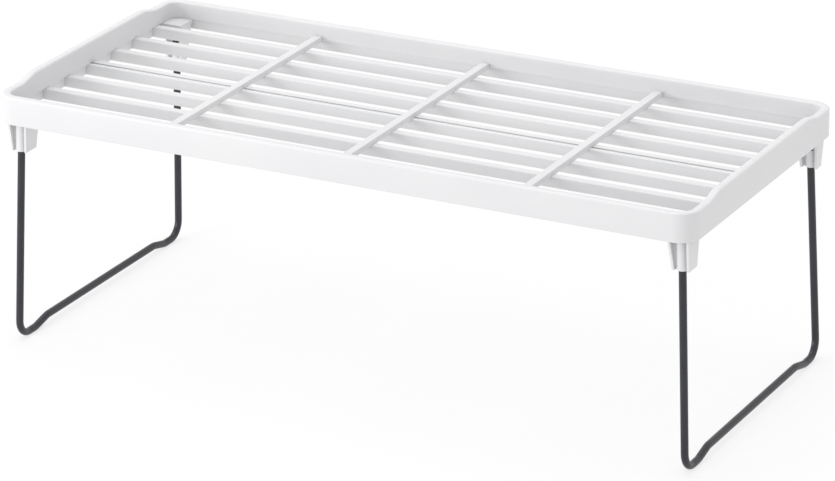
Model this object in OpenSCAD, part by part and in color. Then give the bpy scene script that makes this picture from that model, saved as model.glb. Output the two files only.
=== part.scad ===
// Shelf riser: a slatted moulded tray on two wire legs that push up into sockets under its corners.
// Millimetres. X runs along the length, Y from front to back, Z up from the floor. The origin is on the
// floor, under the middle of the tray.

/* [Tray] */
// Length from end to end
tray_length = 440; // [380:1:480]
// Depth from front to back
tray_depth = 200; // [185:1:230]
// Height of the rim above the floor
tray_height = 155; // [135:1:200]
// Height of the rim walls
wall_height = 17; // [16:0.1:22]
// Thickness of the walls above the deck
wall_thick = 5; // [4.5:0.1:6]
// Thickness of the walls beside and below the deck
skirt_thick = 3.4; // [3:0.1:4]
// Outside radius of the corners
corner_r = 12; // [10:0.5:14]
// Rounding along the top of the rim
rim_round = 1.2; // [0.6:0.1:1.8]
// How far the middle of each end wall stands up
end_rise = 3; // [1:0.1:5]
// Distance from the middle to the top of the end wall's ramp
ramp_top = 62; // [40:1:64]
// Distance from the middle to the foot of the end wall's ramp
ramp_foot = 75; // [68:1:78]

/* [Deck] */
// Depth of the deck below the rim
deck_drop = 10.5; // [9:0.1:11]
// Width of a slat
slat_width = 5.3; // [4:0.1:6]
// Width of the centre slat
centre_slat_width = 9.5; // [8:0.1:11]
// Width of the groove in the centre slat
groove_width = 2; // [1:0.1:2.5]
// Depth of the groove in the centre slat
groove_depth = 3.5; // [1:0.1:4]
// Distance from the centre slat's front edge to its groove
groove_inset = 2.75; // [2:0.05:3]
// Rounding along the top of a slat
slat_round = 0.8; // [0.4:0.1:1.2]
// Spacing of the crossbars
crossbar_pitch = 112.5; // [80:0.5:120]
// Offset of the crossbars to the left of the tray's middle
crossbar_offset = 1.2; // [0:0.1:3]
// Width of a crossbar
crossbar_width = 5; // [3:0.1:7]
// How far a crossbar stands above the slats
crossbar_rise = 2.8; // [1:0.1:3]
// Height of a crossbar
crossbar_height = 3.6; // [3.3:0.1:5]

/* [Legs] */
// Diameter of the coated wire
wire_d = 4.4; // [3.5:0.1:4.6]
// Distance from the tray's middle to the leg, along the length, at the socket mouth
leg_x = 210; // [180:0.5:210]
// Distance from the tray's middle to an upright, at the socket mouth
leg_y = 89; // [86:0.5:90]
// Outward lean of the whole leg, in degrees
leg_lean = 2.3; // [0:0.1:3]
// Outward splay of each upright below its socket, in degrees
leg_splay = 1.75; // [0.5:0.05:2.5]
// Bend radius at the foot, on the wire's centre line
foot_bend_r = 10; // [6:0.5:12]
// Bend radius at the small kinks, on the wire's centre line
kink_bend_r = 12; // [8:0.5:20]
// How far the middle of the bottom bar stands up
bar_rise = 3; // [1:0.1:5]

/* [Sockets] */
// Height of the socket mouth above the floor
mouth_height = 119; // [100:0.5:119]
// Clearance round the wire in its socket
socket_clearance = 0.08; // [0.02:0.01:0.1]
// Outside radius of the socket's round tube
socket_r = 3.1; // [3:0.1:3.4]
// Height above the mouth at which the tube opens towards the tray's middle
window_height = 10; // [6:0.5:16]
// Thickness of the corner plate over the socket
plate_thick = 2; // [1.5:0.1:2.5]
// Size of the corner plate along the length
plate_length = 14.5; // [14:0.5:24]
// Size of the corner plate from front to back
plate_depth = 15.6; // [15:0.1:16]
// Distance from the wire to the outside of a socket's side wall, at the mouth
side_low = 5; // [4.6:0.1:5.5]
// Distance from the wire to the outside of a socket's side wall, at the corner plate
side_high = 6.8; // [6:0.1:7.5]
// Thickness of a socket's side walls
side_thick = 1.4; // [1:0.1:1.5]
// Reach of a front socket's side walls from the wire towards the tray's middle, at the mouth
front_reach_low = 8; // [6:0.1:8.5]
// Reach of a front socket's side walls from the wire towards the tray's middle, at the corner plate
front_reach_high = 9.5; // [8.5:0.1:10]
// Reach of a back socket's side walls from the wire towards the tray's middle, at the mouth
back_reach_low = 4; // [3.5:0.1:6]
// Reach of a back socket's side walls from the wire towards the tray's middle, at the corner plate
back_reach_high = 5.5; // [5:0.1:8]
// Reach of the side walls from the wire towards the rim, at the mouth
outer_reach_low = 2.8; // [2.4:0.1:3]
// Reach of the side walls from the wire towards the rim, at the corner plate
outer_reach_high = 6; // [4:0.1:6.5]
// Thickness of the web between the tube and the side walls
web_thick = 2; // [1.5:0.1:3]

/* [Hidden] */
$fn = 64;
white = [0.93, 0.93, 0.94];
dark_grey = [0.24, 0.25, 0.27];

half_length = tray_length / 2;
half_depth = tray_depth / 2;
wall_bottom = tray_height - wall_height;
deck_top = tray_height - deck_drop;
inside_length = tray_length - 2 * skirt_thick;
inside_depth = tray_depth - 2 * skirt_thick;
straight_length = tray_length - 2 * corner_r;
straight_depth = tray_depth - 2 * corner_r;

slat_count = 7;
slat_height = deck_top - wall_bottom;
slat_gap = (inside_depth - (slat_count - 1) * slat_width - centre_slat_width) / (slat_count + 1);
slat_pitch = slat_width + slat_gap;
first_pitch = centre_slat_width / 2 + slat_gap + slat_width / 2;
crossbar_top = deck_top + crossbar_rise;
crossbar_bottom = crossbar_top - crossbar_height;

wire_r = wire_d / 2;
bore_r = wire_r + socket_clearance;
window_half = bore_r - 0.03;
plate_bottom = deck_top - plate_thick;
socket_rise = plate_bottom - mouth_height;
end_gap = 0.3;
straight_below_mouth = 3;
splay_bend_r = 60;
bend_overlap = 0.2;
bend_slimmer = 0.02;

// The leg is drawn flat, in a plane through the socket mouth that leans by leg_lean.
bar_drop = (mouth_height - wire_r) / cos(leg_lean);
leg_top = (plate_bottom - end_gap - mouth_height) / cos(leg_lean) - wire_r * tan(leg_lean);
foot_corner = leg_y + (bar_drop - straight_below_mouth) * tan(leg_splay);
leg_half_path = [
    [ramp_top, bar_rise - bar_drop],
    [ramp_foot, -bar_drop],
    [foot_corner, -bar_drop],
    [leg_y, -straight_below_mouth],
    [leg_y, leg_top]
];
leg_half_bends = [kink_bend_r, kink_bend_r, foot_bend_r, splay_bend_r, 0];
last = len(leg_half_path) - 1;
leg_path = concat(
    [for (i = [last : -1 : 0]) [-leg_half_path[i][0], leg_half_path[i][1]]],
    leg_half_path
);
leg_bends = concat([for (i = [last : -1 : 0]) leg_half_bends[i]], leg_half_bends);

eps = 0.01;
far = 2 * tray_length;

// ---- Outlines ----

// A bar's cross-section: flat sides, rounded top edges, its base on the X axis.
module rounded_top_bar(width, height, r) {
    translate([-width / 2, 0]) square([width, height - r]);
    translate([r - width / 2, height - r - eps]) square([width - 2 * r, r + eps]);
    for (side = [-1, 1]) translate([side * (width / 2 - r), height - r]) circle(r);
}

// The rim wall's cross-section: outer face on the Y axis, inner side towards +X, bottom at the X axis.
module wall_section() {
    square([skirt_thick, wall_height - deck_drop + eps]);
    translate([wall_thick / 2, wall_height - deck_drop])
        rounded_top_bar(wall_thick, deck_drop, rim_round);
}

module rounded_rectangle(length, depth, r) {
    square([length - 2 * r, depth], center = true);
    square([length, depth - 2 * r], center = true);
    for (x = [-1, 1], y = [-1, 1])
        translate([x * (length / 2 - r), y * (depth / 2 - r)]) circle(r);
}

// ---- Rim ----

module long_wall() {
    translate([-straight_length / 2, half_depth, wall_bottom])
        rotate([90, 0, 90]) mirror([1, 0]) linear_extrude(straight_length) wall_section();
}

module end_wall() {
    translate([half_length, straight_depth / 2, wall_bottom])
        rotate([90, 0, 0]) mirror([1, 0]) linear_extrude(straight_depth) wall_section();
    translate([half_length - wall_thick, 0, tray_height]) rotate([90, 0, 90])
        linear_extrude(wall_thick) polygon([
            [-ramp_foot, -rim_round], [-ramp_foot, 0], [-ramp_top, end_rise],
            [ramp_top, end_rise], [ramp_foot, 0], [ramp_foot, -rim_round]
        ]);
}

// The section is turned about the corner's centre, its outer face at corner_r.
module corner() {
    translate([straight_length / 2, straight_depth / 2, wall_bottom])
        rotate_extrude(angle = 90) translate([corner_r, 0]) mirror([1, 0]) wall_section();
}

// ---- Deck ----

// i is -1 for the left crossbar, 0 for the middle one and 1 for the right one.
function crossbar_start(i) = i * crossbar_pitch - crossbar_offset - crossbar_width / 2;

module crossbar_cut() {
    for (i = [-1 : 1])
        translate([crossbar_start(i), -half_depth, crossbar_bottom])
            cube([crossbar_width, tray_depth, far]);
}

// i counts from the centre slat: negative towards the front, positive towards the back.
function slat_y(i) = i == 0 ? 0 : sign(i) * (first_pitch + (abs(i) - 1) * slat_pitch);

module slat(i) {
    width = i == 0 ? centre_slat_width : slat_width;
    color(white) difference() {
        translate([-inside_length / 2, slat_y(i), wall_bottom]) rotate([90, 0, 90])
            linear_extrude(inside_length) rounded_top_bar(width, slat_height, slat_round);
        crossbar_cut();
        if (i == 0)
            translate([-far / 2, groove_inset - width / 2, deck_top - groove_depth])
                cube([far, groove_width, far]);
    }
}

// The bar reaches the wall's inner face above the deck and the skirt's inner face below it.
module crossbar(i) {
    upper = half_depth - wall_thick;
    lower = half_depth - skirt_thick;
    color(white) translate([crossbar_start(i), 0, 0])
        rotate([90, 0, 90]) linear_extrude(crossbar_width) polygon([
            [-lower, crossbar_bottom], [lower, crossbar_bottom], [lower, deck_top],
            [upper, deck_top], [upper, crossbar_top], [-upper, crossbar_top],
            [-upper, deck_top], [-lower, deck_top]
        ]);
}

// ---- Corner plates and sockets, drawn for the back right corner ----

module corner_plate() {
    translate([0, 0, plate_bottom]) linear_extrude(plate_thick) intersection() {
        rounded_rectangle(inside_length, inside_depth, corner_r - skirt_thick);
        translate([inside_length / 2 - plate_length, inside_depth / 2 - plate_depth])
            square([plate_length, plate_depth]);
    }
}

// Moves what is drawn about the socket mouth to the back right socket, along the leg's lean.
module at_socket() {
    translate([leg_x, leg_y, mouth_height]) rotate([0, -leg_lean, 0]) children();
}

// Everything that a socket may fill: above its mouth, below the plate, clear of the rim walls.
module socket_limits() {
    translate([0, 0, mouth_height]) cube([half_length, half_depth, wall_bottom - mouth_height]);
    translate([0, 0, wall_bottom - eps]) linear_extrude(plate_bottom - wall_bottom + eps)
        rounded_rectangle(inside_length, inside_depth, corner_r - skirt_thick);
}

// The outline of both side walls and the web between them, seen from the front.
module socket_front_view() {
    polygon([
        [-side_low, -1], [side_low, -1], [side_high, socket_rise + 1], [-side_high, socket_rise + 1]
    ]);
}

// What lies between the side walls, seen from the front.
module between_sides_view() {
    low = side_low - side_thick;
    high = side_high - side_thick;
    polygon([[-low, -2], [low, -2], [high, socket_rise + 2], [-high, socket_rise + 2]]);
}

// The outline of a side wall, seen from the right.
module socket_side_view(reach_low, reach_high) {
    polygon([
        [-reach_low, -1], [outer_reach_low, -1],
        [outer_reach_high, socket_rise + 1], [-reach_high, socket_rise + 1]
    ]);
}

module side_walls(reach_low, reach_high) {
    intersection() {
        rotate([90, 0, 0]) linear_extrude(far / 10, center = true) difference() {
            socket_front_view();
            between_sides_view();
        }
        rotate([90, 0, 90]) linear_extrude(far / 10, center = true)
            socket_side_view(reach_low, reach_high);
    }
}

module socket(reach_low, reach_high) {
    intersection() {
        at_socket() difference() {
            union() {
                translate([0, 0, -1]) cylinder(h = socket_rise + 2, r = socket_r);
                rotate([90, 0, 0]) linear_extrude(web_thick, center = true) socket_front_view();
                side_walls(reach_low, reach_high);
            }
            translate([0, 0, -2]) cylinder(h = far / 10, r = bore_r);
            translate([-window_half, -socket_r - 1, window_height])
                cube([2 * window_half, socket_r + 1, far / 10]);
        }
        socket_limits();
    }
}

// ---- Legs ----

function direction(a, b) = (b - a) / norm(b - a);
function heading(v) = atan2(v[1], v[0]);
function turn(a, b, c) = let (t = heading(c - b) - heading(b - a)) t > 180 ? t - 360 : t < -180 ? t + 360 : t;
function trim(path, bends, i) =
    i == 0 || i == len(path) - 1 ? 0 : bends[i] * tan(abs(turn(path[i - 1], path[i], path[i + 1])) / 2);

// A round wire along a flat path, with a bend of its own radius at each inner point. A bend starts a
// little inside the straights beside it and is a hair slimmer, so that its ends are buried in them.
module bent_wire(path, bends, r) {
    for (i = [0 : len(path) - 2]) {
        along = direction(path[i], path[i + 1]);
        start = path[i] + along * trim(path, bends, i);
        finish = path[i + 1] - along * trim(path, bends, i + 1);
        translate([start[0], start[1], 0]) rotate([0, 90, heading(along)])
            cylinder(h = norm(finish - start), r = r);
    }
    for (i = [1 : len(path) - 2]) {
        along = direction(path[i - 1], path[i]);
        angle = turn(path[i - 1], path[i], path[i + 1]);
        start = path[i] - along * trim(path, bends, i);
        overlap = bend_overlap / bends[i] * 180 / PI;
        translate([start[0], start[1], 0]) rotate(heading(along))
            translate([0, sign(angle) * bends[i], 0])
                rotate((angle > 0 ? -90 : 90 + angle) - overlap)
                    rotate_extrude(angle = abs(angle) + 2 * overlap)
                        translate([bends[i], 0]) circle(r - bend_slimmer);
    }
}

module leg() {
    translate([leg_x, 0, mouth_height]) rotate([0, -leg_lean, 0])
        rotate([90, 0, 90]) bent_wire(leg_path, leg_bends, wire_r);
}

// ---- Placing ----

module to_left() { mirror([1, 0, 0]) children(); }
module to_front() { mirror([0, 1, 0]) children(); }

module front_wall() { color(white) to_front() long_wall(); }
module back_wall() { color(white) long_wall(); }
module left_end_wall() { color(white) to_left() end_wall(); }
module right_end_wall() { color(white) end_wall(); }

module front_left_corner() { color(white) to_front() to_left() corner(); }
module front_right_corner() { color(white) to_front() corner(); }
module back_left_corner() { color(white) to_left() corner(); }
module back_right_corner() { color(white) corner(); }

module front_left_plate() { color(white) to_front() to_left() corner_plate(); }
module front_right_plate() { color(white) to_front() corner_plate(); }
module back_left_plate() { color(white) to_left() corner_plate(); }
module back_right_plate() { color(white) corner_plate(); }

module front_socket() { to_front() socket(front_reach_low, front_reach_high); }
module back_socket() { socket(back_reach_low, back_reach_high); }

module front_left_socket() { color(white) to_left() front_socket(); }
module front_right_socket() { color(white) front_socket(); }
module back_left_socket() { color(white) to_left() back_socket(); }
module back_right_socket() { color(white) back_socket(); }

module left_leg() { color(dark_grey) to_left() leg(); }
module right_leg() { color(dark_grey) leg(); }

front_wall();
back_wall();
left_end_wall();
right_end_wall();
front_left_corner();
front_right_corner();
back_left_corner();
back_right_corner();
slat(-3);  // front_slat
slat(-2);  // second_slat
slat(-1);  // third_slat
slat(0);  // centre_slat
slat(1);  // fifth_slat
slat(2);  // sixth_slat
slat(3);  // back_slat
crossbar(-1);  // left_crossbar
crossbar(0);  // middle_crossbar
crossbar(1);  // right_crossbar
front_left_plate();
front_right_plate();
back_left_plate();
back_right_plate();
front_left_socket();
front_right_socket();
back_left_socket();
back_right_socket();
left_leg();
right_leg();
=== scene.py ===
"""Looks of the shelf riser: a white slatted tray on two dark wire legs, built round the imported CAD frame.

Metres. X runs along the tray, Y from front to back, Z up from the floor.
"""

import math

import bmesh
import bpy
from mathutils import Matrix, Vector


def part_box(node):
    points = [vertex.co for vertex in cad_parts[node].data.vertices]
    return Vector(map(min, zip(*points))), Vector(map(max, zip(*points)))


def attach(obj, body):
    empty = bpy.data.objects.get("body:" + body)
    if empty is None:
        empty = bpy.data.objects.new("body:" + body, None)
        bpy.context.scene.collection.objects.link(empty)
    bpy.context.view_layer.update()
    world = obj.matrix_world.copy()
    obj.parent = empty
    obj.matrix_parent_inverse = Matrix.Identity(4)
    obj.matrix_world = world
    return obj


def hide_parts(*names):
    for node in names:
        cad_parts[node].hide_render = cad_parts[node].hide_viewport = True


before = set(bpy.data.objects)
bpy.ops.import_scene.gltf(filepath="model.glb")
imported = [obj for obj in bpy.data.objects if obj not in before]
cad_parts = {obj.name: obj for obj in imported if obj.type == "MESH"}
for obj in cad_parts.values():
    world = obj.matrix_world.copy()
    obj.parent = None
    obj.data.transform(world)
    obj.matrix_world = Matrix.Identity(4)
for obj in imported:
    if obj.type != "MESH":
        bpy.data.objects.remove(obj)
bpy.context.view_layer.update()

MM = 0.001
scene = bpy.context.scene


# ---- Sizes, from the frame ----

WALL_LOW, WALL_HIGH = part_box("front_wall")
END_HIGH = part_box("right_end_wall")[1]
SLAT_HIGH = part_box("front_slat")[1]

HALF_LENGTH = END_HIGH.x
HALF_DEPTH = -WALL_LOW.y
WALL_BOTTOM = WALL_LOW.z
RIM_TOP = WALL_HIGH.z
END_RISE = END_HIGH.z - RIM_TOP
DECK_TOP = SLAT_HIGH.z
CORNER_R = HALF_LENGTH - WALL_HIGH.x
WALL_THICK = WALL_HIGH.y - WALL_LOW.y
SKIRT_THICK = HALF_LENGTH - SLAT_HIGH.x

# Distances from the middle of an end wall to the top and the foot of its ramps.
RAMP_TOP = 62 * MM
RAMP_FOOT = 75 * MM


# ---- Materials ----

def new_material(name):
    """A node material: the material, its node tree, its Principled shader and a helper that adds nodes."""
    material = bpy.data.materials.new(name)
    material.use_nodes = True
    tree = material.node_tree
    shader = tree.nodes["Principled BSDF"]

    def node(kind, **settings):
        made = tree.nodes.new(kind)
        for key, value in settings.items():
            if hasattr(made, key):
                setattr(made, key, value)
            else:
                made.inputs[key].default_value = value
        return made

    return material, tree, shader, node


def noise(tree, node, coordinates, scale, detail, roughness=0.5):
    """Noise in the object's own coordinates; scale is in features per metre."""
    made = node("ShaderNodeTexNoise", Scale=scale, Detail=detail, Roughness=roughness)
    tree.links.new(coordinates.outputs["Object"], made.inputs["Vector"])
    return made


def remap(tree, node, source, low, high):
    """The source's values from 0.3 to 0.7, where noise mostly lies, spread over low to high."""
    made = node("ShaderNodeMapRange")
    made.inputs["From Min"].default_value = 0.3
    made.inputs["From Max"].default_value = 0.7
    made.inputs["To Min"].default_value = low
    made.inputs["To Max"].default_value = high
    tree.links.new(source, made.inputs["Value"])
    return made.outputs["Result"]


def blend_colours(tree, node, factor, first, second):
    """The first colour where factor is 0, the second where it is 1."""
    made = node("ShaderNodeMix", data_type="RGBA")
    made.inputs["A"].default_value = (*first, 1)
    made.inputs["B"].default_value = (*second, 1)
    tree.links.new(factor, made.inputs["Factor"])
    return made.outputs["Result"]


def bump(tree, node, height, distance, strength, under=None):
    """A bump of that height in metres, on top of the normal in under."""
    made = node("ShaderNodeBump", Strength=strength, Distance=distance)
    tree.links.new(height, made.inputs["Height"])
    if under is not None:
        tree.links.new(under, made.inputs["Normal"])
    return made.outputs["Normal"]


def moulded_plastic():
    """Satin white plastic: a faint mould texture, slow flow mottling and uneven gloss."""
    material, tree, shader, node = new_material("white_plastic")
    where = node("ShaderNodeTexCoord")
    mottle = noise(tree, node, where, scale=18, detail=3)
    grain = noise(tree, node, where, scale=2600, detail=2)
    sheen = noise(tree, node, where, scale=70, detail=4, roughness=0.6)
    colour = blend_colours(tree, node, remap(tree, node, mottle.outputs["Fac"], 0, 1),
                           (0.640, 0.640, 0.652), (0.664, 0.664, 0.672))
    tree.links.new(colour, shader.inputs["Base Color"])
    tree.links.new(remap(tree, node, sheen.outputs["Fac"], 0.30, 0.42), shader.inputs["Roughness"])
    waves = bump(tree, node, mottle.outputs["Fac"], 0.15 * MM, strength=0.5)
    texture = bump(tree, node, grain.outputs["Fac"], 0.02 * MM, strength=0.35, under=waves)
    tree.links.new(texture, shader.inputs["Normal"])
    shader.inputs["IOR"].default_value = 1.49
    return material


def coated_wire():
    """Dark grey powder coating: fine orange peel and slightly uneven gloss."""
    material, tree, shader, node = new_material("coated_wire")
    where = node("ShaderNodeTexCoord")
    cloud = noise(tree, node, where, scale=60, detail=3)
    peel = noise(tree, node, where, scale=1400, detail=2, roughness=0.55)
    colour = blend_colours(tree, node, remap(tree, node, cloud.outputs["Fac"], 0, 1),
                           (0.013, 0.014, 0.019), (0.019, 0.020, 0.026))
    tree.links.new(colour, shader.inputs["Base Color"])
    tree.links.new(remap(tree, node, cloud.outputs["Fac"], 0.30, 0.42), shader.inputs["Roughness"])
    texture = bump(tree, node, peel.outputs["Fac"], 0.04 * MM, strength=0.5)
    tree.links.new(texture, shader.inputs["Normal"])
    shader.inputs["IOR"].default_value = 1.5
    return material


def pale_floor():
    """A light table: mostly its own even glow, so that shadows on it stay very faint."""
    material, tree, shader, node = new_material("pale_floor")
    shader.inputs["Base Color"].default_value = (0.22, 0.22, 0.22, 1)
    shader.inputs["Roughness"].default_value = 1.0
    shader.inputs["Specular IOR Level"].default_value = 0.0
    shader.inputs["Emission Color"].default_value = (1, 1, 1, 1)
    shader.inputs["Emission Strength"].default_value = 0.72
    return material


WHITE = moulded_plastic()
DARK = coated_wire()


def dress(obj, material):
    """Gives the piece that material and no other."""
    obj.data.materials.clear()
    obj.data.materials.append(material)


# ---- Rim ----

def arc(centre, radius, start, finish, steps=6):
    """Points on an arc, angles in degrees, the first and last point included."""
    return [
        (centre[0] + radius * math.cos(math.radians(start + (finish - start) * i / steps)),
         centre[1] + radius * math.sin(math.radians(start + (finish - start) * i / steps)))
        for i in range(steps + 1)
    ]


def rim_section():
    """The wall's section as (inset from the outer face, height, share of the end rise) points."""
    top_round = 1.2 * MM
    foot_round = 0.5 * MM
    step_round = 0.3 * MM
    outline = arc((foot_round, WALL_BOTTOM + foot_round), foot_round, 270, 180)
    rising = len(outline)
    outline += arc((top_round, RIM_TOP - top_round), top_round, 180, 90)
    outline += arc((WALL_THICK - top_round, RIM_TOP - top_round), top_round, 90, 0)
    risen = len(outline)
    outline += arc((WALL_THICK - step_round, DECK_TOP + step_round), step_round, 0, -90)
    outline += [(SKIRT_THICK, DECK_TOP)]
    outline += arc((SKIRT_THICK - foot_round, WALL_BOTTOM + foot_round), foot_round, 0, -90)
    return [(inset, height, 1.0 if rising <= i < risen else 0.0)
            for i, (inset, height) in enumerate(outline)]


def end_rise(y):
    """How far the end wall's top stands up at y, its ramp's ends softened over a few millimetres."""
    soften = 2.5 * MM
    samples = 9
    total = 0.0
    for i in range(samples):
        at = abs(y) + soften * (2 * i / (samples - 1) - 1)
        total += min(max((RAMP_FOOT - at) / (RAMP_FOOT - RAMP_TOP), 0.0), 1.0)
    return END_RISE * total / samples


def rim_stations():
    """Round the rim from the front left corner: (point on the outer face, outward normal, rise)."""
    straight_x = HALF_LENGTH - CORNER_R
    straight_y = HALF_DEPTH - CORNER_R
    corner_steps = 16
    side_steps = 110
    corner_step_length = CORNER_R * math.pi / 2 / corner_steps
    stations = []
    corners = [(straight_x, -straight_y, -90), (straight_x, straight_y, 0),
               (-straight_x, straight_y, 90), (-straight_x, -straight_y, 180)]
    for x, y, start in corners:
        for i in range(corner_steps + 1):
            angle = math.radians(start + 90 * i / corner_steps)
            normal = Vector((math.cos(angle), math.sin(angle), 0))
            stations.append((Vector((x, y, 0)) + normal * CORNER_R, normal, 0.0))
    full = []
    for index, station in enumerate(stations):
        full.append(station)
        after = stations[(index + 1) % len(stations)]
        gap = after[0] - station[0]
        if gap.length > 4 * corner_step_length:
            for i in range(1, side_steps):
                point = station[0] + gap * i / side_steps
                rise = end_rise(point.y) if abs(gap.y) > abs(gap.x) else 0.0
                full.append((point, station[1], rise))
    return full


def loft_rings(name, rings):
    """A mesh skin over rings of points; each ring is a closed section, and the rings run round a loop."""
    mesh = bpy.data.meshes.new(name)
    count = len(rings[0])
    vertices = [point for ring in rings for point in ring]
    faces = []
    for i in range(len(rings)):
        j = (i + 1) % len(rings)
        for k in range(count):
            n = (k + 1) % count
            faces.append((i * count + k, i * count + n, j * count + n, j * count + k))
    mesh.from_pydata(vertices, [], faces)
    mesh.update()
    obj = bpy.data.objects.new(name, mesh)
    scene.collection.objects.link(obj)
    return obj


def tidy_normals(obj, smooth_angle=30):
    """Faces point outwards; shading is smooth except where it turns by more than smooth_angle degrees."""
    work = bmesh.new()
    work.from_mesh(obj.data)
    bmesh.ops.recalc_face_normals(work, faces=work.faces)
    work.to_mesh(obj.data)
    work.free()
    obj.data.shade_smooth()
    obj.data.set_sharp_from_angle(angle=math.radians(smooth_angle))


def build_rim():
    """The tray's four walls and four corners as one moulding with rounded edges."""
    section = rim_section()
    rings = []
    for point, normal, rise in rim_stations():
        rings.append([
            (point.x - normal.x * inset, point.y - normal.y * inset, height + rise * share)
            for inset, height, share in section
        ])
    rim = loft_rings("tray_rim", rings)
    tidy_normals(rim)
    dress(rim, WHITE)
    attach(rim, "tray")
    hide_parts("front_wall", "back_wall", "left_end_wall", "right_end_wall",
                "front_left_corner", "front_right_corner", "back_left_corner", "back_right_corner")


# ---- Carried-over CAD nodes ----

def weld(obj):
    """Joins the vertices that lie on each other."""
    obj.modifiers.new("weld", "WELD").merge_threshold = 0.002 * MM


def soften_edges(obj, width, segments=3):
    """Rounds the sharp edges: the mesh is welded and its flat faces joined before the bevel."""
    weld(obj)
    flat = obj.modifiers.new("flatten", "DECIMATE")
    flat.decimate_type = "DISSOLVE"
    flat.angle_limit = math.radians(0.5)
    rounding = obj.modifiers.new("rounding", "BEVEL")
    rounding.width = width
    rounding.segments = segments
    rounding.limit_method = "ANGLE"
    rounding.angle_limit = math.radians(40)
    weld(obj)
    smooth = obj.modifiers.new("weighted", "WEIGHTED_NORMAL")
    smooth.keep_sharp = True


def dress_cad_nodes():
    """The deck, plates, sockets and legs are shown as packed, with materials and softened edges."""
    for name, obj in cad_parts.items():
        if name.endswith("_leg"):
            dress(obj, DARK)
            continue
        dress(obj, WHITE)
        if name.endswith("_slat") or name.endswith("_crossbar"):
            soften_edges(obj, 0.35 * MM)
        elif name.endswith("_socket") or name.endswith("_plate"):
            soften_edges(obj, 0.25 * MM, 2)


# ---- Floor, light and camera ----

def build_floor():
    """A plain floor, far larger than the view."""
    half_size = 8.0
    mesh = bpy.data.meshes.new("floor")
    corners = [(x * half_size, y * half_size, 0) for x, y in [(-1, -1), (1, -1), (1, 1), (-1, 1)]]
    mesh.from_pydata(corners, [], [(0, 1, 2, 3)])
    floor = bpy.data.objects.new("floor", mesh)
    scene.collection.objects.link(floor)
    dress(floor, pale_floor())


def soft_light(name, direction, distance, size, power):
    """A square area light that shines from that direction on the tray's middle."""
    light = bpy.data.lights.new(name, "AREA")
    light.shape = "SQUARE"
    light.size = size
    light.energy = power
    lamp = bpy.data.objects.new(name, light)
    scene.collection.objects.link(lamp)
    towards = Vector(direction).normalized()
    lamp.location = towards * distance + Vector((0, 0, RIM_TOP / 2))
    lamp.rotation_euler = towards.to_track_quat("Z", "Y").to_euler()


def build_lights():
    """An even white surround, a key light from the front left and a weak one overhead."""
    world = bpy.data.worlds.new("studio")
    scene.world = world
    world.use_nodes = True
    background = world.node_tree.nodes["Background"]
    background.inputs["Color"].default_value = (1, 1, 1, 1)
    background.inputs["Strength"].default_value = 1.0
    soft_light("key", (-0.60, -0.77, 0.20), distance=1.5, size=0.6, power=8.8)
    soft_light("top", (-0.20, 0.15, 1.0), distance=3.0, size=1.6, power=25)


def build_camera():
    """The camera of the reference view: a long lens, looking down on the front right corner."""
    azimuth = math.radians(27.686)
    elevation = math.radians(21.424)
    roll = math.radians(-0.496)
    distance = 2.5593
    aim_height = 80 * MM
    aim_right = 1.896 * MM
    aim_up = -11.238 * MM
    forward = Vector((-math.sin(azimuth) * math.cos(elevation),
                      math.cos(azimuth) * math.cos(elevation), -math.sin(elevation)))
    right = Vector((math.cos(azimuth), math.sin(azimuth), 0))
    up = right.cross(forward)
    aim = Vector((0, 0, aim_height)) + right * aim_right + up * aim_up
    side = right * math.cos(roll) + up * math.sin(roll)
    top = up * math.cos(roll) - right * math.sin(roll)
    data = bpy.data.cameras.new("camera")
    data.sensor_width = 36
    data.lens = 190.5
    camera = bpy.data.objects.new("camera", data)
    scene.collection.objects.link(camera)
    turned = Matrix((side, top, -forward)).transposed().to_4x4()
    camera.matrix_world = Matrix.Translation(aim - forward * distance) @ turned
    scene.camera = camera


build_camera()
build_lights()
build_floor()
build_rim()
dress_cad_nodes()

scene.view_settings.view_transform = "Standard"
